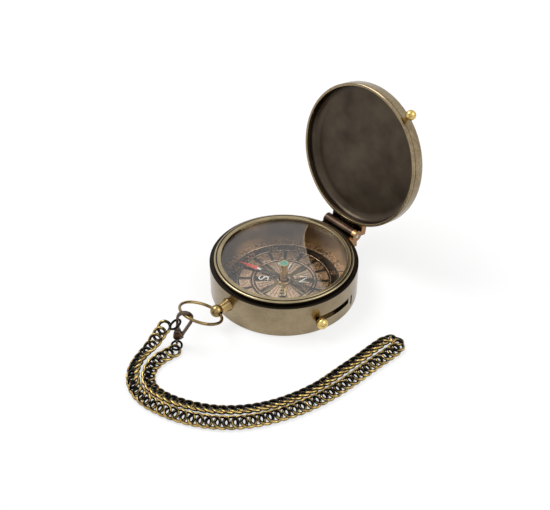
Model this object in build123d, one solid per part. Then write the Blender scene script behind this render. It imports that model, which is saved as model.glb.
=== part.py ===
from build123d import *
from math import cos, degrees, pi, radians, sin, tan
import os

# Brass pocket compass: hinged lid, needle lock, bow ring, lobster clasp and chain.
# Millimetres, +Z up, origin at the centre of the flat bottom, hinge at +Y, bow at -Y.

# Case
case_radius = 32.0
case_wall = 1.6
floor_thick = 1.1
ledge_height = 15.4
collar_depth = 3.0
fit_gap = 0.05

# Bezel, glass and movement ring
bezel_radius = 30.1
bezel_opening = 27.0
bezel_top = 17.3
bezel_wall = 0.8
glass_thick = 1.2
glass_under = 15.0
gasket_thick = 0.4
ring_bore = 28.0
ring_wall = 0.9

# Dial
dial_top = 3.2
dial_thick = 0.6
dial_hole = 1.8
scale_width = 3.2
scale_rise = 0.15
foot_radius = 1.3
foot_circle = 20.0
screw_radius = 0.6
screw_head = 1.1

# Pivot and needle
pivot_radius = 0.9
pin_radius = 0.4
pin_top = 11.0
needle_height = 4.0
needle_thick = 0.35
needle_tip = 23.9
needle_tail = 21.9
needle_angle = 198.0
head_length = 10.4
head_width = 2.3
band_length = 2.0
shaft_width = 0.8
cap_radius = 1.6
cap_bore = 0.8
cap_head = 2.0
cap_top = 12.5
cap_head_height = 1.6
inlay_thick = 0.3

# Needle lock
lock_angle = -15.9
lock_travel = 29.0
slot_height = 2.8
slot_level = 6.7
stem_radius = 0.8
ball_radius = 2.45
ball_out = 2.9
shoe_gap = 0.25
lift = 0.8
foot_angle = 17.0
lifter_thick = 0.35
lifter_level = 1.25
lifter_bore = 1.0
lifter_wall = 0.5
lifter_heel = 0.95
notch_gap = 0.2
slit_angle = 20.5
slit_width = 1.3
slit_height = 5.0

# Lid and hinge
lid_radius = 31.6
lid_wall = 1.2
lid_height = 6.1
lid_gap = 0.1
lid_open = 100.2
hinge_out = 3.3
hinge_drop = 0.7
barrel_radius = 2.6
barrel_length = 19.0
middle_knuckle = 9.6
knuckle_gap = 0.12
hinge_pin_radius = 0.8
knob_angle = -52.8
knob_radius = 2.2
knob_out = 3.0

# Bow
bow_level = 8.4
bow_ball = 2.7
bow_hole = 0.85
bow_reach = 5.9
bow_radius = 9.0
bow_wire = 0.65
bow_tilt = 25.0
post_radius = 2.9
nut_radius = 2.2

# Clasp, in its own upright plane
clasp_turn = 47.8
hook_inner = 2.4
hook_thick = 1.1
hook_depth = 0.65
clasp_depth = 2.4
gate_depth = 1.0
gate_length = 9.2
gate_width = 1.2
gate_lean = 60.7
gate_pin_radius = 0.35
eye_radius = 1.15
eye_wire = 0.5
jump_radius = 2.1
jump_wire = 0.45
end_ring_radius = 2.5

# Chain, drawn as a plain cord along its centre line
chain_width = 3.2
corner_share = 0.45

BASE = (Align.CENTER, Align.CENTER, Align.MIN)


def disc(radius, low, high):
    return Pos(0, 0, low) * Cylinder(radius, high - low, align=BASE)


def tube(outer, inner, low, high):
    return disc(outer, low, high) - disc(inner, low - 1, high + 1)


def bar(start, end, radius):
    line = Line(start, end)
    return sweep(Plane(origin=line @ 0, z_dir=line % 0) * Circle(radius), path=line)


def plate(points, thick):
    return extrude(make_face(Polyline(*points, close=True)), thick)


def sector(start, end, low, high, reach=3 * case_radius):
    middle = (start + end) / 2
    rays = [(reach * cos(radians(a)), reach * sin(radians(a)), low) for a in (start, middle, end)]
    return plate([(0, 0, low), *rays], high - low)


def at_angle(shape, angle):
    return Rot(0, 0, angle) * shape


def write(name, shape):
    export_step(shape, f"parts/{name}.step")


os.makedirs("parts", exist_ok=True)

# Case: a cup with a thick rim collar, bored for the bow post and slotted for the lock.
case_bore = case_radius - case_wall
collar_bore = bezel_radius + fit_gap
slot_end = lock_angle + lock_travel + 2.5
case = disc(case_radius, 0, ledge_height) - disc(case_bore, floor_thick, ledge_height - collar_depth)
case -= disc(collar_bore, floor_thick, ledge_height + 1)
case = chamfer(case.edges().group_by(Axis.Z)[0].sort_by(SortBy.LENGTH)[-1], 0.4)
slot_band = tube(case_radius + 1, case_bore - 0.1, slot_level - slot_height / 2, slot_level + slot_height / 2)
case -= slot_band & sector(lock_angle - 2.5, slot_end, 0, ledge_height)
slit = Pos(case_radius, 0, slot_level - 1.6) * Box(2 * case_wall + 2, slit_width, slit_height)
case -= at_angle(slit, slit_angle)
case -= bar((0, -case_radius - 1, bow_level), (0, -case_bore + 1, bow_level), 1.1 + fit_gap)
foot_places = [Rot(0, 0, 90 + 120 * i) * Pos(foot_circle, 0, 0) for i in range(3)]
for place in foot_places:
    case -= place * disc(screw_radius + fit_gap, -1, floor_thick + 1)
    case -= place * Cone(screw_head + fit_gap, screw_radius, 0.6, align=BASE)
write("case_body", case)

# Movement ring carries the gasket and glass; the bezel holds them down.
ring_outer = ring_bore + ring_wall
ring_top = glass_under - gasket_thick
movement_ring = tube(ring_outer, ring_bore, floor_thick, ring_top)
notch_top = lifter_level + lifter_heel + lift + notch_gap
notch = Pos(ring_bore, 0, floor_thick) * Box(4, 3.4, notch_top - floor_thick, align=BASE)
movement_ring -= at_angle(notch, foot_angle)
write("movement_ring", movement_ring)
glass_radius = bezel_radius - bezel_wall - fit_gap
glass_top = glass_under + glass_thick
write("glass_gasket", tube(ring_outer, ring_bore, ring_top, glass_under))
write("glass_window", disc(glass_radius, glass_under, glass_top))
bezel = tube(bezel_radius, bezel_opening, glass_top, bezel_top)
bezel += tube(bezel_radius, bezel_radius - bezel_wall, ledge_height - collar_depth + 0.4, glass_top)
bezel -= tube(bezel_radius - 1.0, bezel_radius - 1.6, bezel_top - 0.25, bezel_top + 1)
bezel = chamfer(bezel.edges().group_by(Axis.Z)[-1].sort_by(SortBy.LENGTH)[-1], 0.3)
write("bezel_ring", bezel)

# Dial on three feet, screwed from below, with a raised scale ring.
dial_under = dial_top - dial_thick
dial_radius = ring_bore - fit_gap
dial = disc(dial_radius, dial_under, dial_top) - disc(dial_hole, 0, dial_top + 1)
write("dial_plate", dial)
write("scale_ring", tube(dial_radius, dial_radius - scale_width, dial_top, dial_top + scale_rise))
foot = disc(foot_radius, floor_thick, dial_under) - disc(screw_radius, 0, dial_under - 0.4)
write("dial_feet", Compound([place * foot for place in foot_places]))
screw = disc(screw_radius, 0.5, dial_under - 0.4) + Cone(screw_head, screw_radius, 0.55, align=BASE)
write("dial_screws", Compound([place * screw for place in foot_places]))

# Pivot: a brass post with a hard steel pin pressed in.
post_top = dial_top + 0.2
pin_seat = floor_thick + 0.6
pivot = disc(pivot_radius, floor_thick, post_top) - disc(pin_radius, pin_seat, post_top + 1)
write("pivot_post", pivot)
point = Pos(0, 0, pin_top - 1) * Cone(pin_radius, 0.05, 1.0, align=BASE)
write("pivot_pin", disc(pin_radius, pin_seat, pin_top - 1) + point)

# Needle: one flat blade in three lengths, under a tall cap with a jewel and a coloured inlay.
neck_reach = needle_tip - head_length
band_reach = neck_reach - band_length
half = shaft_width / 2


def blade(points):
    flat = plate([(x, y, needle_height) for x, y in points], needle_thick)
    return at_angle(flat, needle_angle)


arrow = blade([(neck_reach, -head_width / 2), (needle_tip, 0), (neck_reach, head_width / 2)])
write("needle_arrow", arrow)
band = [(band_reach, -half), (neck_reach, -0.8), (neck_reach, 0.8), (band_reach, half)]
write("needle_band", blade(band))
shaft = blade([(-needle_tail, -0.3), (band_reach, -half), (band_reach, half), (-needle_tail, 0.3)])
write("needle_shaft", shaft - disc(cap_radius, 0, cap_top))
jewel_level = pin_top + 0.05
cap = disc(cap_radius, needle_height, cap_top - cap_head_height)
cap += disc(cap_head, cap_top - cap_head_height, cap_top)
cap -= disc(cap_bore, 0, jewel_level + 0.4)
cap -= disc(cap_head - 0.35, cap_top - inlay_thick, cap_top + 1)
write("needle_cap", cap)
write("cap_jewel", disc(cap_bore, jewel_level, jewel_level + 0.4))
write("cap_inlay", disc(cap_head - 0.35, cap_top - inlay_thick, cap_top))

# Lifter: a collar round the pivot, an arm under the dial and a foot on the lock's ramp.
lifter_collar = tube(lifter_bore + lifter_wall, lifter_bore, lifter_level, needle_height - 0.2)
arm_top = lifter_level + lifter_thick
arm = Pos(ring_bore / 2, 0, lifter_level) * Box(ring_bore + 0.8, 2.4, lifter_thick, align=BASE)
arm += Pos(ring_bore + 0.3, 0, lifter_level) * Box(0.6, 2.4, lifter_heel, align=BASE)
arm += Pos(ring_bore + 1.3, 0, lifter_level + 0.5) * Box(1.6, 2.4, lifter_heel - 0.5, align=BASE)
arm &= disc(case_bore - shoe_gap, 0, 9)
lifter = lifter_collar + (at_angle(arm, foot_angle) - disc(lifter_bore + 0.2, 0, 9))
write("needle_lifter", lifter)

# Lock: a curved shoe between case and movement ring, with a ramp rail under the lifter foot.
shoe_inner = ring_outer + shoe_gap
shoe_outer = case_bore - shoe_gap
shoe_low = slot_level - slot_height / 2 - 0.7
shoe_high = slot_level + slot_height / 2 + 0.7
rail_low = floor_thick + 0.1
shoe = tube(shoe_outer, shoe_inner, shoe_low, shoe_high) & sector(-36, 1, 0, ledge_height)
leg = tube(shoe_outer, shoe_inner, rail_low, shoe_high) & sector(-36, -29, 0, ledge_height)
rail_start = foot_angle + 3
rail_end = foot_angle - lock_travel - 3
steps = 16
rail = leg
for i in range(steps):
    a = rail_start + (rail_end - rail_start) * i / steps
    b = rail_start + (rail_end - rail_start) * (i + 1) / steps
    top = arm_top + 0.03 + lift * max(0.0, i - 2) / (steps - 2) * 0.95
    rail += tube(shoe_outer, shoe_inner, rail_low, top) & sector(b, a + 0.1, 0, ledge_height)
rail += tube(shoe_outer, shoe_inner, rail_low, arm_top) & sector(-30, rail_end, 0, ledge_height)
lock_place = Rot(0, 0, lock_angle)
ball_circle = case_radius + ball_out
stem = bar((shoe_inner, 0, slot_level), (ball_circle - ball_radius + 0.5, 0, slot_level), stem_radius)
stem_hole = bar((shoe_inner - 1, 0, slot_level), (shoe_outer + 1, 0, slot_level), stem_radius)
write("lock_shoe", shoe + rail - lock_place * stem_hole)
knob_ball = Pos(ball_circle, 0, slot_level) * Sphere(ball_radius)
write("lock_stem", lock_place * (stem - knob_ball))
write("lock_knob", lock_place * knob_ball)

# Hinge: outer knuckles on the case, middle knuckle on the lid, one pin through both.
hinge_y = case_radius + hinge_out
hinge_z = ledge_height - hinge_drop
half_barrel = barrel_length / 2
half_middle = middle_knuckle / 2


def along_x(radius, start, end):
    return bar((start, hinge_y, hinge_z), (end, hinge_y, hinge_z), radius)


def block(half_length, y_low, y_high, z_low, z_high):
    size = (2 * half_length, y_high - y_low, z_high - z_low)
    return Pos(0, (y_low + y_high) / 2, (z_low + z_high) / 2) * Box(*size)


pin_bore = along_x(hinge_pin_radius + 0.03, -half_barrel - 1, half_barrel + 1)
case_leaf = block(half_barrel, case_radius - 2, hinge_y, hinge_z - 5.2, hinge_z - 0.4)
case_leaf -= disc(case_radius, 0, 2 * ledge_height)
case_leaf += along_x(barrel_radius, -half_barrel, half_barrel)
case_leaf -= disc(case_radius + 0.3, hinge_z - 0.4, 2 * ledge_height)
case_leaf -= along_x(barrel_radius + 0.15, -half_middle, half_middle)
case_leaf -= block(half_middle, hinge_y - 1, hinge_y + 9, hinge_z - 9, hinge_z + 9)
case_leaf -= pin_bore
write("case_hinge_leaf", case_leaf)
hinge_pin = along_x(hinge_pin_radius, -half_barrel, half_barrel)
write("hinge_pin", hinge_pin)

# The lid is drawn shut, then everything on it is turned to the open stop.
lid_low = ledge_height + lid_gap
lid_high = lid_low + lid_height
hinge_axis = Axis((0, hinge_y, hinge_z), (-1, 0, 0))


def open_lid(shape):
    return shape.rotate(hinge_axis, lid_open)


lid_bore = lid_radius - lid_wall
lid = disc(lid_radius, lid_low, lid_high) - disc(lid_bore, lid_low - 1, lid_high - lid_wall)
lid = fillet(lid.edges().group_by(Axis.Z)[-1], 0.9)
knob_level = lid_low + lid_height / 2 + 0.1
lid_stud_radius = 0.9
knob_turn = Rot(0, 0, knob_angle)
knob_circle = lid_radius + knob_out
stud_hole = bar((lid_bore - 2, 0, knob_level), (lid_radius + 2, 0, knob_level), lid_stud_radius)
lid -= knob_turn * stud_hole
write("lid_shell", open_lid(lid))
liner = disc(lid_bore - fit_gap, lid_high - lid_wall - 0.5, lid_high - lid_wall)
liner -= disc(lid_bore - 3.5, 0, lid_high - lid_wall - 0.3)
write("lid_liner", open_lid(liner))
lid_leaf = block(half_barrel - 0.4, lid_radius - 3, hinge_y + 0.8, hinge_z + barrel_radius + 0.2, lid_high - 1.2)
lid_leaf -= disc(lid_radius, 0, 2 * lid_high)
knuckle_half = half_middle - knuckle_gap
lid_leaf += along_x(barrel_radius, -knuckle_half, knuckle_half)
lid_leaf += block(knuckle_half, hinge_y - 1.6, hinge_y + 0.8, hinge_z, hinge_z + barrel_radius + 0.4)
lid_leaf -= pin_bore
write("lid_hinge_leaf", open_lid(lid_leaf))
lid_ball = Pos(knob_circle, 0, knob_level) * Sphere(knob_radius)
stud = bar((lid_bore - 0.3, 0, knob_level), (knob_circle - 1, 0, knob_level), lid_stud_radius)
write("lid_knob", open_lid(knob_turn * lid_ball))
write("lid_knob_stud", open_lid(knob_turn * (stud - lid_ball)))

# Bow post: a collar and drilled ball, drawn up by a nut inside the case wall.
ball_y = -(case_radius + bow_reach)
bow_centre = Vector(0, ball_y, bow_level)
collar_out = case_radius + 2.6
outward = Plane(origin=(0, -case_bore, bow_level), z_dir=(0, -1, 0))
post = outward * Cone(post_radius + 0.4, 2.0, collar_out - case_bore + 1.4, align=BASE)
post -= disc(case_radius, 0, ledge_height)
flare = Cone(0.75, 1.15, bow_ball + 0.1, align=BASE)
ball = Pos(*bow_centre) * Sphere(bow_ball)
ball -= bar((-bow_ball, ball_y, bow_level), (bow_ball, ball_y, bow_level), bow_hole)
for side in (-1, 1):
    ball_side = Plane(origin=bow_centre, z_dir=(side, 0, 0))
    post_cut = ball_side * flare
    ball -= post_cut
    post -= post_cut
post -= Pos(*bow_centre) * Sphere(bow_ball)
post += ball
nut_in = case_bore - 0.1
nut_face = nut_in - 0.9
post += bar((0, -case_radius - 0.3, bow_level), (0, -nut_face, bow_level), 1.1)
write("bow_post", post)
nut_plane = Plane(origin=(0, -nut_face, bow_level), z_dir=(0, -1, 0))
nut = extrude(nut_plane * RegularPolygon(nut_radius, 6), nut_in - nut_face)
nut -= bar((0, -nut_face + 1, bow_level), (0, -case_radius, bow_level), 1.1)
write("bow_post_nut", nut)
bow_out = Vector(0, -cos(radians(bow_tilt)), sin(radians(bow_tilt)))
bow_normal = Vector(0, sin(radians(bow_tilt)), cos(radians(bow_tilt)))
bow_plane = Plane(origin=bow_centre + bow_out * bow_radius, z_dir=bow_normal)
write("bow_ring", bow_plane * Torus(bow_radius, bow_wire))

# Clasp: drawn flat about the point where the bow's wire passes, then stood upright.
hook_point = bow_centre + bow_out * (2 * bow_radius)
clasp_side = Vector(cos(radians(clasp_turn)), sin(radians(clasp_turn)), 0)
clasp_plane = Plane(origin=hook_point, x_dir=clasp_side, z_dir=(sin(radians(clasp_turn)), -cos(radians(clasp_turn)), 0))
hook_low = bow_wire + 0.08 - hook_inner
hook_outer = hook_inner + hook_thick


def flat(points, depth):
    face = make_face(Polyline(*points, close=True))
    return Pos(0, 0, -depth / 2) * extrude(face, depth)


def round_flat(radius, depth, x, y):
    return Pos(x, y, -depth / 2) * Cylinder(radius, depth, align=BASE)


hook = round_flat(hook_outer, 2 * hook_depth, 0, hook_low) - round_flat(hook_inner, 9, 0, hook_low)
tip_lean = radians(-30)
hook_cut = [(0, hook_low), (9 * cos(tip_lean), hook_low + 9 * sin(tip_lean)), (9, -14), (-9, -14), (-9, hook_low)]
hook -= flat(hook_cut, 9)
pin_at = (-2.0, -11.4)
neck = [(-hook_outer, hook_low + 0.05), (-3.7, -5.0), (-4.5, -8.0), (-2.2, -8.0), (-2.75, -5.0), (-hook_inner, hook_low + 0.05)]
trunk = [(-4.5, -8.0), (-5.2, -10.4), (-5.3, -11.8), (-4.8, -12.8), (-4.1, -13.2), (-2.2, -12.8), (-1.0, -11.8),
         (-1.1, -10.6), (-1.9, -9.2), (-2.2, -8.0)]
body = hook + flat(neck, 2 * hook_depth)
trunk_solid = flat(trunk, clasp_depth)
trunk_solid = chamfer(trunk_solid.edges().filter_by(Axis.Z, reverse=True), 0.45)
body += trunk_solid
body -= flat([(-3.3, -13.0), (2, -13.0), (2, -7.0), (-2.2, -7.0), (-3.3, -9.6)], gate_depth + 0.2)
body += Pos(-3.9, -14.1, 0) * Rot(0, 90, 0) * Torus(eye_radius, eye_wire)
pin_solid = round_flat(gate_pin_radius, clasp_depth, *pin_at)
body -= pin_solid
write("clasp_body", clasp_plane * body)
write("clasp_gate_pin", clasp_plane * pin_solid)
lean = radians(gate_lean)
gate_bar = Pos(pin_at[0], pin_at[1], 0) * Rot(0, 0, gate_lean) * Pos(gate_length / 2, 0, 0)
gate = gate_bar * Box(gate_length + 1, gate_width, gate_depth) & round_flat(gate_length, 9, *pin_at)
gate += round_flat(1.0, gate_depth, *pin_at)
gate -= round_flat(gate_pin_radius + 0.05, 9, *pin_at)
write("clasp_gate", clasp_plane * gate)
jump_tilt = 17.0
jump_place = Pos(-3.9, -14.1, 0) * Rot(jump_tilt, 0, 0) * Pos(0, 0, jump_radius + 0.1) * Rot(90, 0, 0)
write("clasp_jump_ring", clasp_plane * jump_place * Torus(jump_radius, jump_wire))
end_place = Pos(-4.05, -5.0, 0) * Rot(0, 0, 32) * Rot(90, 0, 0)
write("chain_end_ring", clasp_plane * end_place * Torus(end_ring_radius, 0.5))

# Chain: doubled on the table, from the clasp's end ring out to a fold and back to its jump ring.
floor_level = chain_width / 2 + 0.05
outer_run = [(-6.3, -60.4, 8.8), (-6.7, -63.0, 6.0), (-6.9, -66.2, 2.9), (-6.4, -70.4, floor_level)]
outer_run += [(x, y, floor_level) for x, y in [
    (-4.4, -75.6), (-1.0, -80.6), (5.0, -84.9), (13.6, -86.6), (23.6, -84.3), (33.6, -79.9), (43.0, -73.0),
    (50.4, -63.8), (55.3, -53.6), (58.9, -42.4), (60.6, -30.6), (60.9, -18.8), (60.6, -7.8), (60.8, 1.4),
    (60.7, 8.4)]]
fold = [(57.5, 10.3, floor_level), (54.3, 8.4, floor_level)]
inner_run = [(x, y, floor_level) for x, y in [
    (54.2, 1.2), (54.6, -8.0), (54.5, -19.0), (54.7, -30.6), (52.9, -41.6), (49.4, -52.4), (44.0, -61.8),
    (37.0, -69.6), (28.4, -75.6), (19.4, -79.6), (11.6, -80.8), (6.0, -78.6), (2.0, -73.8), (0.6, -68.2),
    (0.9, -64.4), (1.1, -61.8)]]
route = outer_run + fold + inner_run


def corner_radius(before, point, after):
    a = Vector(*point) - Vector(*before)
    b = Vector(*after) - Vector(*point)
    return corner_share * min(a.length, b.length) / tan(radians(a.get_angle(b)) / 2)


radii = [corner_radius(*route[i - 1:i + 2]) for i in range(1, len(route) - 1)]
chain_line = FilletPolyline(*route, radius=radii)
chain = sweep(Plane(origin=chain_line @ 0, z_dir=chain_line % 0) * Circle(chain_width / 2), path=chain_line)
write("chain", chain)
print("corner radii", [round(r, 1) for r in radii])
print("chain length", round(chain_line.length, 1))
print("chain volume", round(chain.volume, 1), "section by length", round(pi * chain_width ** 2 / 4 * chain_line.length, 1))
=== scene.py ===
from math import cos, pi, radians, sin

import bmesh
import bpy
from mathutils import Matrix, Vector


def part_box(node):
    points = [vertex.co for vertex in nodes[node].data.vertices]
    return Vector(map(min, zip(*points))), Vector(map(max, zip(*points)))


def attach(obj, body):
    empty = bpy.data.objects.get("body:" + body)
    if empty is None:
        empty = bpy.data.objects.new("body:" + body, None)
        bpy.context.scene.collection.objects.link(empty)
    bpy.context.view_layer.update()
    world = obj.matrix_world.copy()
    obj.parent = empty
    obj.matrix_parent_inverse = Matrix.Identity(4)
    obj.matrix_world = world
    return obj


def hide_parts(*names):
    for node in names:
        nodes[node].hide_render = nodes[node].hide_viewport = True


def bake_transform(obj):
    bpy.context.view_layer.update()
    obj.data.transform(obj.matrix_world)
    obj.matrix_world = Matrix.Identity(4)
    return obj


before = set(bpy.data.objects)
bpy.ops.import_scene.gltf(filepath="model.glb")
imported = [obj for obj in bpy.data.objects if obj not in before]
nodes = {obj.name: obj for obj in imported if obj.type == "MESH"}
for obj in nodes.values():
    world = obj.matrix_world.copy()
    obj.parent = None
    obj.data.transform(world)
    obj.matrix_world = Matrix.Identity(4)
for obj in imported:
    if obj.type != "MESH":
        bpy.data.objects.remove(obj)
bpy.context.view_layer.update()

# Brass pocket compass, lid open, its chain laid double. Sizes are in millimetres, lamps and camera in metres.
mm = 0.001
scene = bpy.context.scene


# Node trees

def feed(tree, socket, value):
    # value is a number, a colour, a material or another node's output
    if isinstance(value, bpy.types.NodeSocket):
        tree.links.new(value, socket)
    else:
        socket.default_value = value


def addNode(tree, kind, settings=None, **given):
    # given names the input sockets, with _ for a space
    node = tree.nodes.new(kind)
    for key, value in (settings or {}).items():
        setattr(node, key, value)
    for key, value in given.items():
        feed(tree, node.inputs[key.replace("_", " ")], value)
    return node


def addMath(tree, operation, *given):
    node = addNode(tree, "ShaderNodeMath", {"operation": operation})
    for socket, value in zip(node.inputs, given):
        feed(tree, socket, value)
    return node.outputs[0]


def addRange(tree, value, low, high, toLow=0.0, toHigh=1.0):
    node = addNode(tree, "ShaderNodeMapRange", Value=value, From_Min=low, From_Max=high, To_Min=toLow,
                   To_Max=toHigh)
    return node.outputs["Result"]


def addNoise(tree, place, scale, detail):
    return addNode(tree, "ShaderNodeTexNoise", Vector=place, Scale=scale, Detail=detail).outputs["Fac"]


def addTones(tree, factor, deep, light, low=0.0, high=1.0):
    ramp = addNode(tree, "ShaderNodeValToRGB", Fac=factor)
    first, last = ramp.color_ramp.elements
    first.position, first.color = low, (*deep, 1)
    last.position, last.color = high, (*light, 1)
    return ramp.outputs["Color"]


def addMix(tree, kind, factor, first, second):
    mix = addNode(tree, "ShaderNodeMix", {"data_type": kind})
    feed(tree, mix.inputs["Factor"], factor)
    feed(tree, mix.inputs["A"], first)
    feed(tree, mix.inputs["B"], second)
    return mix.outputs["Result"]


# Materials

def startMaterial(name, **given):
    mat = bpy.data.materials.new(name)
    mat.use_nodes = True
    tree = mat.node_tree
    shader = tree.nodes["Principled BSDF"]
    for key, value in given.items():
        feed(tree, shader.inputs[key.replace("_", " ")], value)
    place = tree.nodes.new("ShaderNodeTexCoord").outputs["Object"]
    return mat, tree, shader, place


# the brush grain and the larger cloudy stains are added in these shares, and run through the two tones
# between low and high
brassLook = {"brushShare": 0.45, "cloudShare": 0.55, "cloudScale": 95.0, "low": 0.32, "high": 0.66}
tarnishLook = {"scale": 420.0, "low": 0.58, "high": 0.7}
brushRound = (1, 1, 14)
brushAcross = (4, 4, 1)


def agedMetal(name, deep, light, roughLow, roughHigh, stretch=(1, 1, 1), grain=900, bump=0.00002,
              tarnish=None):
    # deep and light are the two tones of the metal, stretch turns the grain into brush lines
    mat, tree, shader, place = startMaterial(name, Metallic=1.0)
    stretched = addNode(tree, "ShaderNodeMapping", Vector=place, Scale=stretch).outputs["Vector"]
    brush = addNoise(tree, stretched, grain, 4.0)
    cloud = addNoise(tree, place, brassLook["cloudScale"], 5.0)
    stain = addMath(tree, "MULTIPLY", cloud, brassLook["cloudShare"])
    both = addMath(tree, "MULTIPLY_ADD", brush, brassLook["brushShare"], stain)
    colour = addTones(tree, both, deep, light, brassLook["low"], brassLook["high"])
    if tarnish:
        spots = addNoise(tree, place, tarnishLook["scale"], 6.0)
        mask = addRange(tree, spots, tarnishLook["low"], tarnishLook["high"])
        colour = addMix(tree, "RGBA", mask, colour, (*tarnish, 1))
    feed(tree, shader.inputs["Base Color"], colour)
    feed(tree, shader.inputs["Roughness"], addRange(tree, both, 0.3, 0.7, roughLow, roughHigh))
    relief = addNode(tree, "ShaderNodeBump", Distance=bump, Strength=0.6, Height=brush)
    feed(tree, shader.inputs["Normal"], relief.outputs["Normal"])
    return mat


def zoneByPlace(mat, axis, low, high, colour, rough):
    # turns the metal into a second tone where its own coordinate lies past low, fully from high on
    tree = mat.node_tree
    shader = tree.nodes["Principled BSDF"]
    place = tree.nodes.new("ShaderNodeTexCoord").outputs["Object"]
    split = addNode(tree, "ShaderNodeSeparateXYZ", Vector=place)
    edge = addRange(tree, split.outputs[axis], low * mm, high * mm)
    for name, kind, value in (("Base Color", "RGBA", (*colour, 1)), ("Roughness", "FLOAT", rough)):
        socket = shader.inputs[name]
        feed(tree, socket, addMix(tree, kind, edge, socket.links[0].from_socket, value))
    return mat


def wearAndHighlightMetal(name, deep, light, rough):
    # dark, partly oxide and partly painted shade, and bright where the wear-and-highlight attribute is high:
    # partly real wear, partly a painted highlight
    mat, tree, shader, place = startMaterial(name, Metallic=1.0, Roughness=rough)
    wearAndHighlight = addNode(tree, "ShaderNodeAttribute", {"attribute_name": "wearAndHighlight"}).outputs["Fac"]
    spots = addNoise(tree, place, 700.0, 4.0)
    both = addMath(tree, "MULTIPLY_ADD", spots, 0.9, wearAndHighlight)
    feed(tree, shader.inputs["Base Color"], addTones(tree, both, deep, light, 0.62))
    return mat


def paint(name, colour, rough, coat=0.3, metallic=0.0):
    mat, tree, shader, place = startMaterial(name, Metallic=metallic, Coat_Weight=coat)
    grain = addNoise(tree, place, 1500.0, 3.0)
    darker = [c * 0.8 for c in colour]
    lighter = [min(1, c * 1.15) for c in colour]
    feed(tree, shader.inputs["Base Color"], addTones(tree, grain, darker, lighter))
    feed(tree, shader.inputs["Roughness"], addRange(tree, grain, 0.0, 1.0, rough * 0.8, rough * 1.2))
    return mat


def clearGlass(name):
    # shadows and soft light pass straight through, so the dial under the glass is lit
    mat, tree, shader, _ = startMaterial(name, Base_Color=(0.97, 0.985, 0.975, 1), Transmission_Weight=1.0,
                                         Roughness=0.0, IOR=1.45)
    rays = tree.nodes.new("ShaderNodeLightPath").outputs
    passing = addMath(tree, "MAXIMUM", rays["Is Shadow Ray"], rays["Is Diffuse Ray"])
    mixShaders(tree, passing, shader, tree.nodes.new("ShaderNodeBsdfTransparent"))
    return mat


def mixShaders(tree, factor, first, second):
    join = addNode(tree, "ShaderNodeMixShader", Fac=factor)
    tree.links.new(first.outputs[0], join.inputs[1])
    tree.links.new(second.outputs[0], join.inputs[2])
    tree.links.new(join.outputs[0], tree.nodes["Material Output"].inputs["Surface"])


caseSide = agedMetal("caseBrass", (0.17, 0.13, 0.08), (0.37, 0.295, 0.185), 0.16, 0.3, brushRound,
                     bump=0.00001)
hingeSide = agedMetal("hingeBrass", (0.02, 0.013, 0.009), (0.07, 0.045, 0.03), 0.2, 0.36)
finish = {
    # above 15 mm the case turns near black: a painted shade on the ledge and the neck under the bezel
    "case": zoneByPlace(caseSide, "Z", 15.0, 15.15, (0.02, 0.015, 0.01), 0.3),
    "bezel": agedMetal("bezelBrass", (0.24, 0.19, 0.11), (0.42, 0.345, 0.21), 0.14, 0.26, brushAcross,
                       bump=0.000005),
    # near black: painted shade and dark reflection for the bezel's groove and outer side
    "groove": agedMetal("bezelPaintedShade", (0.012, 0.009, 0.006), (0.04, 0.03, 0.02), 0.25, 0.4),
    "lidOut": agedMetal("lidBrass", (0.16, 0.12, 0.07), (0.34, 0.265, 0.16), 0.16, 0.3, bump=0.00001),
    "lidIn": agedMetal("lidInside", (0.038, 0.029, 0.021), (0.082, 0.063, 0.045), 0.3, 0.4, grain=120,
                       bump=0.000004),
    "gold": agedMetal("knobBrass", (0.42, 0.28, 0.07), (0.80, 0.60, 0.24), 0.08, 0.2,
                      tarnish=(0.18, 0.1, 0.03)),
    "oldGold": agedMetal("oldGold", (0.05, 0.03, 0.015), (0.46, 0.32, 0.13), 0.1, 0.22, grain=260),
    "hinge": zoneByPlace(hingeSide, "X", 7.2, 7.8, (0.30, 0.17, 0.08), 0.25),
    "inner": agedMetal("innerBrass", (0.10, 0.075, 0.045), (0.24, 0.18, 0.10), 0.25, 0.4, brushRound),
    "dialGround": agedMetal("dialGround", (0.02, 0.016, 0.013), (0.075, 0.055, 0.04), 0.35, 0.5),
    "copper": agedMetal("copperRelief", (0.34, 0.21, 0.13), (0.72, 0.50, 0.35), 0.2, 0.34,
                        tarnish=(0.22, 0.12, 0.07)),
    "clasp": agedMetal("claspMetal", (0.07, 0.05, 0.038), (0.17, 0.12, 0.09), 0.24, 0.4,
                       tarnish=(0.40, 0.18, 0.08)),
    # chain: the gold top is partly wear and partly a painted highlight, the near-black rest partly oxide and
    # partly painted shade
    "chain": wearAndHighlightMetal("chainBrass", (0.008, 0.007, 0.006), (0.60, 0.42, 0.14), 0.24),
    "steel": agedMetal("groundSteel", (0.35, 0.35, 0.34), (0.62, 0.62, 0.6), 0.15, 0.3),
    "white": agedMetal("whiteMetal", (0.7, 0.68, 0.62), (0.92, 0.9, 0.85), 0.12, 0.25),
    "red": paint("redPaint", (0.62, 0.06, 0.035), 0.3),
    "black": paint("blackening", (0.018, 0.018, 0.02), 0.35, metallic=0.6),
    "green": paint("greenEnamel", (0.03, 0.24, 0.16), 0.2, coat=0.8),
    "ruby": paint("jewelRed", (0.4, 0.03, 0.06), 0.1, coat=1.0),
    "gasket": paint("gasketBlack", (0.015, 0.015, 0.015), 0.7, coat=0.0),
    "glass": clearGlass("coverGlass"),
}

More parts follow.
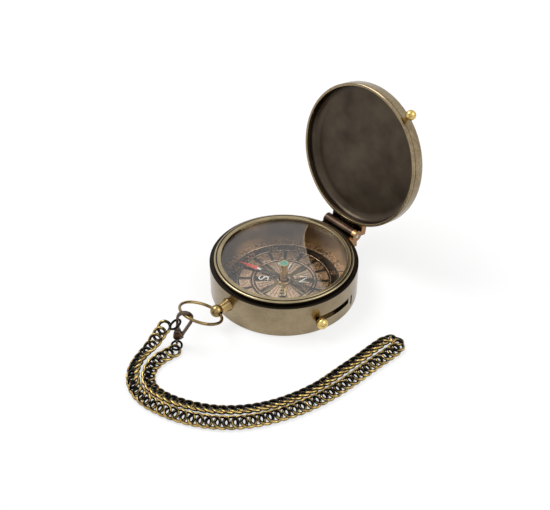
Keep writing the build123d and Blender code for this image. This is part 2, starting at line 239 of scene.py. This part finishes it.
nodeFinish = {
    "case": ["case_body"],
    "bezel": ["bezel_ring"],
    "lidOut": ["lid_shell"],
    "lidIn": ["lid_liner"],
    "gold": ["needle_cap", "lock_stem", "lock_knob", "lid_knob", "lid_knob_stud"],
    "oldGold": ["bow_post", "bow_ring"],
    "hinge": ["case_hinge_leaf", "lid_hinge_leaf"],
    "inner": ["movement_ring", "dial_feet", "pivot_post", "needle_lifter", "lock_shoe", "bow_post_nut"],
    "dialGround": ["dial_plate"],
    "copper": ["scale_ring"],
    "clasp": ["clasp_body", "clasp_gate"],
    "chain": ["clasp_jump_ring", "chain_end_ring"],
    "steel": ["dial_screws", "pivot_pin", "hinge_pin", "clasp_gate_pin"],
    "white": ["needle_band"],
    "red": ["needle_arrow"],
    "black": ["needle_shaft"],
    "green": ["cap_inlay"],
    "ruby": ["cap_jewel"],
    "gasket": ["glass_gasket"],
    "glass": ["glass_window"],
}
for finishName, names in nodeFinish.items():
    for name in names:
        nodes[name].data.materials.clear()
        nodes[name].data.materials.append(finish[finishName])
print("finishes on", sum(len(n) for n in nodeFinish.values()), "nodes")


# Mesh helpers

def placeMesh(name, mesh, body, replaced=()):
    obj = bpy.data.objects.new(name, mesh)
    scene.collection.objects.link(obj)
    if body:
        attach(obj, body)
    if replaced:
        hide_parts(*replaced)
    return obj


def addMesh(name, build, mats, body, place=None, smooth=True, replaced=()):
    mesh = bpy.data.meshes.new(name)
    bm = bmesh.new()
    build(bm)
    bmesh.ops.remove_doubles(bm, verts=bm.verts, dist=1e-7)
    bmesh.ops.recalc_face_normals(bm, faces=bm.faces)
    if place:
        bm.transform(place)
    for face in bm.faces:
        face.smooth = smooth
    bm.to_mesh(mesh)
    bm.free()
    for mat in mats:
        mesh.materials.append(mat)
    return placeMesh(name, mesh, body, replaced)


def meshOf(name, data):
    # the evaluated mesh of a curve or text
    holder = bpy.data.objects.new(name + "Holder", data)
    scene.collection.objects.link(holder)
    bpy.context.view_layer.update()
    mesh = bpy.data.meshes.new_from_object(holder.evaluated_get(bpy.context.evaluated_depsgraph_get()))
    bpy.data.objects.remove(holder)
    return mesh


def lathe(bm, profile, zones=None, around=128):
    # a closed outline of (radius, height), turned about Z; zones gives a material slot for each edge
    rings = []
    for radius, height in profile:
        ring = []
        for k in range(around):
            a = 2 * pi * k / around
            ring.append(bm.verts.new((radius * mm * cos(a), radius * mm * sin(a), height * mm)))
        rings.append(ring)
    for i, lower in enumerate(rings):
        following = (i + 1) % len(rings)
        upper = rings[following]
        if profile[i][0] == 0 and profile[following][0] == 0:
            continue
        for k in range(around):
            n = (k + 1) % around
            face = bm.faces.new([lower[k], lower[n], upper[n], upper[k]])
            face.material_index = zones[i] if zones else 0


def skinRings(bm, rings):
    # joins each ring of vertices to the next one, and the last to the first
    for k, ring in enumerate(rings):
        following = rings[(k + 1) % len(rings)]
        for j in range(len(ring)):
            m = (j + 1) % len(ring)
            bm.faces.new([ring[j], following[j], following[m], ring[m]])


def sharpen(obj, limit=35):
    # keeps turned corners crisp on a smooth mesh
    bm = bmesh.new()
    bm.from_mesh(obj.data)
    for edge in bm.edges:
        if len(edge.link_faces) == 2 and edge.calc_face_angle(0) > radians(limit):
            edge.smooth = False
    bm.to_mesh(obj.data)
    bm.free()


# Bezel: a pale face, a groove and a bright outer bead; the groove and the outer side carry a painted shade
# and dark reflection

bezelShape = {"outer": 30.1, "opening": 27.0, "top": 17.3, "seat": 16.2, "skirt": 12.8, "wall": 0.8}


def buildBezel(bm):
    s = bezelShape
    o, i, t = s["outer"], s["opening"], s["top"]
    face = [(i, s["seat"]), (i, t - 0.35), (i + 0.12, t - 0.1), (i + 0.4, t), (i + 1.6, t)]
    groove = [(i + 1.75, t - 0.12), (i + 1.85, t - 0.4), (i + 2.2, t - 0.42)]
    bead = [(i + 2.3, t - 0.2), (o - 0.5, t - 0.22), (o - 0.25, t - 0.34)]
    side = [(o - 0.05, t - 0.6), (o, t - 0.9), (o, s["skirt"])]
    back = [(o - s["wall"], s["skirt"]), (o - s["wall"], s["seat"])]
    # slot 1, the painted shade and dark reflection, goes on the groove and on the outer side
    zones = [0] * len(face) + [1] * len(groove) + [0] * len(bead) + [1] * len(side) + [0] * len(back)
    lathe(bm, face + groove + bead + side + back, zones)


bezel = addMesh("bezelRing", buildBezel, [finish["bezel"], finish["groove"]], "case",
                replaced=["bezel_ring"])
sharpen(bezel)

# Lid: drawn shut, then turned about the hinge to its open stop

lidShape = {"radius": 31.6, "wall": 1.2, "low": 15.5, "height": 6.1, "open": 100.2, "hingeY": 35.3,
            "hingeZ": 14.7, "insideCurve": 4.0, "insideSquash": 0.62, "mouth": 1.6}
hingePoint = Vector((0, lidShape["hingeY"] * mm, lidShape["hingeZ"] * mm))
lidTurn = Matrix.Rotation(radians(lidShape["open"]), 4, Vector((-1, 0, 0)))
lidPlace = Matrix.Translation(hingePoint) @ lidTurn @ Matrix.Translation(-hingePoint)


def buildLid(bm):
    s = lidShape
    r, low, high = s["radius"], s["low"], s["low"] + s["height"]
    inner, ceiling = r - s["wall"], high - s["wall"]
    rim = [(inner, low + 0.12), (inner + 0.15, low), (r - 0.2, low), (r, low + 0.2), (r, low + 0.9)]
    line = [(r - 0.22, low + 1.0), (r - 0.22, low + 1.35), (r, low + 1.45)]
    crown = [(r, high - 1.0), (r - 0.12, high - 0.5), (r - 0.42, high - 0.16), (r - 1.0, high),
             (r - 4.0, high), (r - 4.3, high - 0.15), (r - 4.6, high), (0, high)]
    inside = [(0, ceiling)]
    curve, rise = s["insideCurve"], s["insideSquash"] * s["insideCurve"]
    for k in range(9):
        a = radians(90 - 10 * k)
        inside.append((inner - curve + curve * cos(a), ceiling - rise + rise * sin(a)))
    inside.append((inner, low + s["mouth"]))
    outside = rim + line + crown
    lathe(bm, outside + inside, [0] * len(outside) + [1] * (len(inside) - 1) + [0])


lid = addMesh("lidShell", buildLid, [finish["lidOut"], finish["lidIn"]], "lid", lidPlace,
              replaced=["lid_shell", "lid_liner"])
sharpen(lid)
print("turned parts made")

# Balls of the lock and the lid: the node, the body and the radius of each

ballPieces = {"lockBall": ("lock_knob", "lock", 2.45), "lidBall": ("lid_knob", "lid", 2.2)}


def buildBall(bm, centre, radius):
    bmesh.ops.create_uvsphere(bm, u_segments=48, v_segments=24, radius=radius)
    bmesh.ops.translate(bm, verts=bm.verts, vec=centre)


for pieceName, (node, body, radius) in ballPieces.items():
    low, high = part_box(node)
    centre = (Vector(low) + Vector(high)) / 2
    addMesh(pieceName, lambda bm: buildBall(bm, centre, radius * mm), [finish["gold"]], body,
            replaced=[node])

# Bow ring

bowShape = {"ballY": -37.9, "level": 8.4, "radius": 9.0, "wire": 0.65, "tilt": 25.0}


def buildBow(bm, around=72, section=12):
    major, minor = bowShape["radius"] * mm, bowShape["wire"] * mm
    rings = []
    for k in range(around):
        a = 2 * pi * k / around
        ring = []
        for j in range(section):
            b = 2 * pi * j / section
            r = major + minor * cos(b)
            ring.append(bm.verts.new((r * cos(a), r * sin(a), minor * sin(b))))
        rings.append(ring)
    skinRings(bm, rings)


bowTilt = radians(bowShape["tilt"])
bowOut = Vector((0, -cos(bowTilt), sin(bowTilt)))
bowCentre = (Vector((0, bowShape["ballY"], bowShape["level"])) + bowOut * bowShape["radius"]) * mm
bowPlace = Matrix.Translation(bowCentre) @ Matrix.Rotation(-bowTilt, 4, "X")
addMesh("bowRing", buildBow, [finish["oldGold"]], "bow", bowPlace, replaced=["bow_ring"])

# Dial relief: a rose of eight points, two rings of polished fields and four raised bands

dialShape = {"top": 3.2, "rise": 0.3, "longPoint": 15.5, "shortPoint": 11.0, "waist": 3.2, "waistTurn": 0.62,
             "ridgeStart": 2.3, "inside": 2.2}
fieldRings = [{"count": 8, "inner": 4.6, "outer": 12.6, "angle": 30.0, "rise": 0.12},
              {"count": 16, "inner": 14.6, "outer": 19.6, "angle": 17.2, "rise": 0.12}]
bandRings = [{"inner": 2.2, "outer": 2.9, "rise": 0.3}, {"inner": 13.3, "outer": 13.9, "rise": 0.22},
             {"inner": 20.3, "outer": 20.6, "rise": 0.2}, {"inner": 24.3, "outer": 24.7, "rise": 0.3}]
dialTop = dialShape["top"]


def buildRose(bm):
    # corners: tip, two at the waist, two on the ridge, one inside; the long points lie over the short ones
    s = dialShape
    sides = ((0, 4, 1), (4, 3, 1), (0, 2, 4), (4, 2, 3), (1, 3, 5), (3, 2, 5), (0, 1, 5), (0, 5, 2))
    for start, reach, lift in ((45, s["shortPoint"], 0.7), (0, s["longPoint"], 1.0)):
        corners = [(reach, 0, 0), (s["waist"], s["waistTurn"], 0), (s["waist"], -s["waistTurn"], 0),
                   (s["ridgeStart"], 0, lift), (reach * 0.9, 0, lift * 0.6), (s["inside"], 0, 0)]
        for k in range(4):
            a = radians(start + 90 * k)
            v = [bm.verts.new(Vector((r * cos(a + t), r * sin(a + t), dialTop + s["rise"] * z)) * mm)
                 for r, t, z in corners]
            for side in sides:
                bm.faces.new([v[i] for i in side])


def addField(bm, inner, outer, start, end, low, high, steps=10, slope=0.1):
    # one raised piece of a ring between two angles
    rows = []
    for k in range(steps + 1):
        a = radians(start + (end - start) * k / steps)
        section = ((inner, low), (inner + slope, high), (outer - slope, high), (outer, low))
        rows.append([bm.verts.new(Vector((r * cos(a), r * sin(a), z)) * mm) for r, z in section])
    for row, following in zip(rows, rows[1:]):
        for j in range(4):
            n = (j + 1) % 4
            bm.faces.new([row[j], following[j], following[n], row[n]])
    bm.faces.new(rows[0])
    bm.faces.new(rows[-1])


def buildFields(bm):
    for s in fieldRings:
        share = 360 / s["count"]
        for k in range(s["count"]):
            start = share * (k + 0.5) - s["angle"] / 2
            addField(bm, s["inner"], s["outer"], start, start + s["angle"], dialTop, dialTop + s["rise"])


def buildBands(bm, slope=0.08):
    for s in bandRings:
        inner, outer, shoulder, crest = s["inner"], s["outer"], dialTop + s["rise"] * 0.7, dialTop + s["rise"]
        lathe(bm, [(inner, dialTop), (inner, shoulder), (inner + slope, crest), (outer - slope, crest),
                   (outer, shoulder), (outer, dialTop)], around=96)


addMesh("dialRose", buildRose, [finish["inner"]], "case", smooth=False)
addMesh("dialFans", buildFields, [finish["copper"]], "case", smooth=False)
bands = addMesh("dialBands", buildBands, [finish["copper"]], "case")
sharpen(bands)


# Geometry Nodes: repeats on a circle or along a route, baked to a plain mesh

def startShapeTree(name, inputs):
    tree = bpy.data.node_groups.new(name, "GeometryNodeTree")
    tree.interface.new_socket("Geometry", in_out="INPUT", socket_type="NodeSocketGeometry")
    for label, kind in inputs:
        tree.interface.new_socket(label, in_out="INPUT", socket_type=kind)
    tree.interface.new_socket("Geometry", in_out="OUTPUT", socket_type="NodeSocketGeometry")
    return tree, tree.nodes.new("NodeGroupInput").outputs


def finishShapeTree(tree, instances, mat):
    real = addNode(tree, "GeometryNodeRealizeInstances", Geometry=instances)
    coat = addNode(tree, "GeometryNodeSetMaterial", Geometry=real.outputs["Geometry"], Material=mat)
    addNode(tree, "NodeGroupOutput", Geometry=coat.outputs["Geometry"])
    return tree


def bakeTree(name, seed, tree, values, body):
    holder = bpy.data.objects.new(name + "Holder", seed)
    scene.collection.objects.link(holder)
    modifier = holder.modifiers.new("build", "NODES")
    modifier.node_group = tree
    for item in tree.interface.items_tree:
        if item.item_type == "SOCKET" and item.in_out == "INPUT" and item.name in values:
            modifier[item.identifier] = values[item.name]
    bpy.context.view_layer.update()
    seen = holder.evaluated_get(bpy.context.evaluated_depsgraph_get())
    mesh = bpy.data.meshes.new_from_object(seen)
    bpy.data.objects.remove(holder)
    mesh.name = name
    return placeMesh(name, mesh, body)


def radialBars(name, shape):
    # a bar stood on each point of a circle, pointing outwards
    lengths = ("Start Radius", "Bar Length", "Bar Width", "Bar Height", "Level")
    inputs = [("Bar Count", "NodeSocketInt")] + [(label, "NodeSocketFloat") for label in lengths]
    tree, given = startShapeTree(name + "Tree", inputs)
    middle = addMath(tree, "MULTIPLY_ADD", given["Bar Length"], 0.5, given["Start Radius"])
    circle = addNode(tree, "GeometryNodeMeshCircle", Vertices=given["Bar Count"], Radius=middle)
    size = addNode(tree, "ShaderNodeCombineXYZ", X=given["Bar Length"], Y=given["Bar Width"],
                   Z=given["Bar Height"])
    bar = addNode(tree, "GeometryNodeMeshCube", Size=size.outputs[0])
    outward = tree.nodes.new("GeometryNodeInputPosition").outputs[0]
    outwardAxes = {"axis": "X", "pivot_axis": "Z"}
    aim = addNode(tree, "FunctionNodeAlignRotationToVector", outwardAxes, Vector=outward)
    stand = addNode(tree, "GeometryNodeInstanceOnPoints", Points=circle.outputs["Mesh"],
                    Instance=bar.outputs["Mesh"], Rotation=aim.outputs[0])
    up = addNode(tree, "ShaderNodeCombineXYZ", Z=given["Level"])
    raised = addNode(tree, "GeometryNodeTransform", Geometry=stand.outputs[0], Translation=up.outputs[0])
    finishShapeTree(tree, raised.outputs["Geometry"], finish["black"])
    values = {label: shape[label] * mm for label in lengths}
    values["Bar Count"] = shape["Bar Count"]
    return bakeTree(name, bpy.data.meshes.new(name + "Seed"), tree, values, "case")


barRings = {
    "dialRays": {"Bar Count": 40, "Start Radius": 5.4, "Bar Length": 6.6, "Bar Width": 0.22,
                 "Bar Height": 0.1, "Level": dialTop + 0.14},
    "scaleTicks": {"Bar Count": 72, "Start Radius": 25.3, "Bar Length": 1.3, "Bar Width": 0.16,
                   "Bar Height": 0.06, "Level": dialTop + 0.18},
    "scaleTicksLong": {"Bar Count": 24, "Start Radius": 24.9, "Bar Length": 2.4, "Bar Width": 0.26,
                       "Bar Height": 0.07, "Level": dialTop + 0.18},
}
for name, shape in barRings.items():
    radialBars(name, shape)

# Letters and numbers, each word standing outwards round the dial, clockwise from its first angle

letterRing = {"radius": 8.6, "size": 6.6, "thick": 0.14, "level": dialTop + 0.45, "first": 45}
numberRing = {"radius": 22.0, "size": 3.0, "thick": 0.1, "level": dialTop + 0.12, "first": 90}


def ringOfWords(prefix, words, shape, mat):
    for k, word in enumerate(words):
        name = prefix + word
        curve = bpy.data.curves.new(name, "FONT")
        curve.body = word
        curve.size = shape["size"] * mm
        curve.extrude = shape["thick"] * mm
        curve.align_x = "CENTER"
        curve.align_y = "CENTER"
        mesh = meshOf(name, curve)
        angle = shape["first"] - 360 / len(words) * k
        x, y = shape["radius"] * cos(radians(angle)), shape["radius"] * sin(radians(angle))
        turn = Matrix.Rotation(radians(angle - 90), 4, "Z")
        mesh.transform(Matrix.Translation(Vector((x, y, shape["level"])) * mm) @ turn)
        mesh.materials.clear()
        mesh.materials.append(mat)
        placeMesh(name, mesh, "case")


ringOfWords("letter", "NESW", letterRing, finish["white"])
ringOfWords("number", [str(30 * k) for k in range(12)], numberRing, finish["copper"])
print("dial made")

# Chain: one link on each evenly spaced point of a route that runs out to a fold and back

chainShape = {"pitch": 3.35, "halfLength": 2.75, "halfWidth": 2.35, "wire": 0.66, "weave": 0.35, "roll": 19,
              "level": 1.65}
level = chainShape["level"]
route = [(-6.3, -60.4, 8.8), (-6.7, -63.0, 6.0), (-6.9, -66.2, 2.9), (-6.4, -70.4, level)]
route += [(x, y, level) for x, y in [
    (-4.4, -75.6), (-1.0, -80.6), (5.0, -84.9), (13.6, -86.6), (23.6, -84.3), (33.6, -79.9), (43.0, -73.0),
    (50.4, -63.8), (55.3, -53.6), (58.9, -42.4), (60.6, -30.6), (60.9, -18.8), (60.6, -7.8), (60.8, 1.4),
    (60.7, 8.4), (57.5, 10.3), (54.3, 8.4), (54.2, 1.2), (54.6, -8.0), (54.5, -19.0), (54.7, -30.6),
    (52.9, -41.6), (49.4, -52.4), (44.0, -61.8), (37.0, -69.6), (28.4, -75.6), (19.4, -79.6), (11.6, -80.8),
    (6.0, -78.6), (2.0, -73.8), (0.6, -68.2), (0.9, -64.4), (1.1, -61.8)]]


def routeCurve(name):
    curve = bpy.data.curves.new(name, "CURVE")
    curve.dimensions = "3D"
    spline = curve.splines.new("NURBS")
    spline.points.add(len(route) - 1)
    for point, place in zip(spline.points, route):
        point.co = (place[0] * mm, place[1] * mm, place[2] * mm, 1)
    spline.order_u = 3
    spline.use_endpoint_u = True
    spline.resolution_u = 8
    return curve


def buildLink(bm, around=22, section=8):
    # an oval of wire, woven up and down; the wear-and-highlight layer, partly wear and partly a painted
    # highlight, is highest on the upper, outer side of the wire
    s = chainShape
    wearAndHighlight = bm.verts.layers.float.new("wearAndHighlight")
    a, b, c, w = s["halfLength"] * mm, s["halfWidth"] * mm, s["weave"] * mm, s["wire"] * mm
    rings = []
    for k in range(around):
        t = 2 * pi * k / around
        middle = Vector((a * cos(t), b * sin(t), c * sin(2 * t)))
        ahead = Vector((-a * sin(t), b * cos(t), 2 * c * cos(2 * t))).normalized()
        side = ahead.cross(Vector((0, 0, 1))).normalized()
        rise = side.cross(ahead).normalized()
        ring = []
        for j in range(section):
            turn = 2 * pi * j / section
            vert = bm.verts.new(middle + side * (w * cos(turn)) + rise * (w * sin(turn)))
            vert[wearAndHighlight] = max(0, sin(turn + 0.6)) ** 3 * (0.2 + 0.35 * abs(sin(t)))
            ring.append(vert)
        rings.append(ring)
    skinRings(bm, rings)
    bmesh.ops.recalc_face_normals(bm, faces=bm.faces)
    bm.transform(Matrix.Rotation(radians(s["roll"]), 4, "X"))
    for face in bm.faces:
        face.smooth = True


def chainTree(name, linkObject):
    tree, given = startShapeTree(name, [("Link Count", "NodeSocketInt")])
    spread = addNode(tree, "GeometryNodeCurveToPoints", {"mode": "COUNT"}, Curve=given["Geometry"],
                     Count=given["Link Count"])
    aim = addNode(tree, "FunctionNodeAlignRotationToVector", {"axis": "X"}, Vector=spread.outputs["Tangent"])
    shape = addNode(tree, "GeometryNodeObjectInfo", Object=linkObject)
    stand = addNode(tree, "GeometryNodeInstanceOnPoints", Points=spread.outputs["Points"],
                    Instance=shape.outputs["Geometry"], Rotation=aim.outputs[0])
    return finishShapeTree(tree, stand.outputs[0], finish["chain"])


linePoints = [v.co.copy() for v in meshOf("chainLine", routeCurve("chainLine")).vertices]
lineLength = sum((b - a).length for a, b in zip(linePoints, linePoints[1:]))
linkCount = round(lineLength / (chainShape["pitch"] * mm)) + 1
linkMesh = bpy.data.meshes.new("chainLink")
linkBm = bmesh.new()
buildLink(linkBm)
linkBm.to_mesh(linkMesh)
linkBm.free()
linkObject = bpy.data.objects.new("chainLinkHolder", linkMesh)
scene.collection.objects.link(linkObject)
chain = bakeTree("chainLinks", routeCurve("chainRoute"), chainTree("chainTree", linkObject),
                 {"Link Count": linkCount}, None)
bpy.data.objects.remove(linkObject)
print("chain of", linkCount, "links over", round(lineLength, 4), "m")
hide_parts("chain")
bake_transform(chain)

# Floor: white to the camera and in the metal, but it keeps the shadow

floorShape = {"reach": 3.0, "level": -0.0002, "whiteShare": 0.7}
floorMat, floorTree, floorShader, _ = startMaterial("paleFloor", Base_Color=(0.92, 0.92, 0.92, 1),
                                                    Roughness=0.9, Specular_IOR_Level=0.1)
floorRays = floorTree.nodes.new("ShaderNodeLightPath").outputs
floorSeen = addMath(floorTree, "MAXIMUM", floorRays["Is Camera Ray"], floorRays["Is Glossy Ray"])
floorWhite = addMath(floorTree, "MULTIPLY", floorSeen, floorShape["whiteShare"])
mixShaders(floorTree, floorWhite, floorShader, floorTree.nodes.new("ShaderNodeEmission"))
reach = floorShape["reach"]
corners = [(x * reach, y * reach, floorShape["level"]) for x, y in ((-1, -1), (1, -1), (1, 1), (-1, 1))]
floorMesh = bpy.data.meshes.new("floor")
floorMesh.from_pydata(corners, [], [(0, 1, 2, 3)])
floorMesh.materials.append(floorMat)
floor = bpy.data.objects.new("floor", floorMesh)
scene.collection.objects.link(floor)

# World: plain light on the object, full white where it is seen directly, in the metal or through the glass

worldShape = {"light": 0.7, "seen": 1.0}
world = bpy.data.worlds.new("studio")
scene.world = world
world.use_nodes = True
sky = world.node_tree
skyRays = sky.nodes.new("ShaderNodeLightPath").outputs
skySeen = addMath(sky, "MAXIMUM", skyRays["Is Camera Ray"], skyRays["Is Glossy Ray"])
skySeen = addMath(sky, "MAXIMUM", skySeen, skyRays["Is Transmission Ray"])
feed(sky, sky.nodes["Background"].inputs["Color"], (1, 1, 1, 1))
feed(sky, sky.nodes["Background"].inputs["Strength"],
     addRange(sky, skySeen, 0.0, 1.0, worldShape["light"], worldShape["seen"]))

# Lamps: place and size in metres, power in watts

lampShapes = {"keyLamp": {"place": (-0.35, -0.15, 0.6), "size": 0.35, "power": 2.6},
              "fillLamp": {"place": (0.5, 0.25, 0.55), "size": 0.5, "power": 1.6}}


def aimAt(obj, place, target):
    obj.location = place
    obj.rotation_euler = (Vector(target) - Vector(place)).to_track_quat("-Z", "Y").to_euler()
    scene.collection.objects.link(obj)


for name, shape in lampShapes.items():
    lamp = bpy.data.lights.new(name, "AREA")
    lamp.size = shape["size"]
    lamp.energy = shape["power"]
    aimAt(bpy.data.objects.new(name, lamp), shape["place"], (0, 0, 0))

cameraShape = {"place": (0.24831, -0.23025, 0.29146), "target": (-0.00899, 0.00292, 0.01066), "lens": 66.57,
               "sensor": 36, "near": 0.01}
cameraData = bpy.data.cameras.new("viewCamera")
cameraData.sensor_width = cameraShape["sensor"]
cameraData.lens = cameraShape["lens"]
cameraData.clip_start = cameraShape["near"]
camera = bpy.data.objects.new("viewCamera", cameraData)
aimAt(camera, cameraShape["place"], cameraShape["target"])
scene.camera = camera
scene.view_settings.view_transform = "Standard"
print("scene ready")
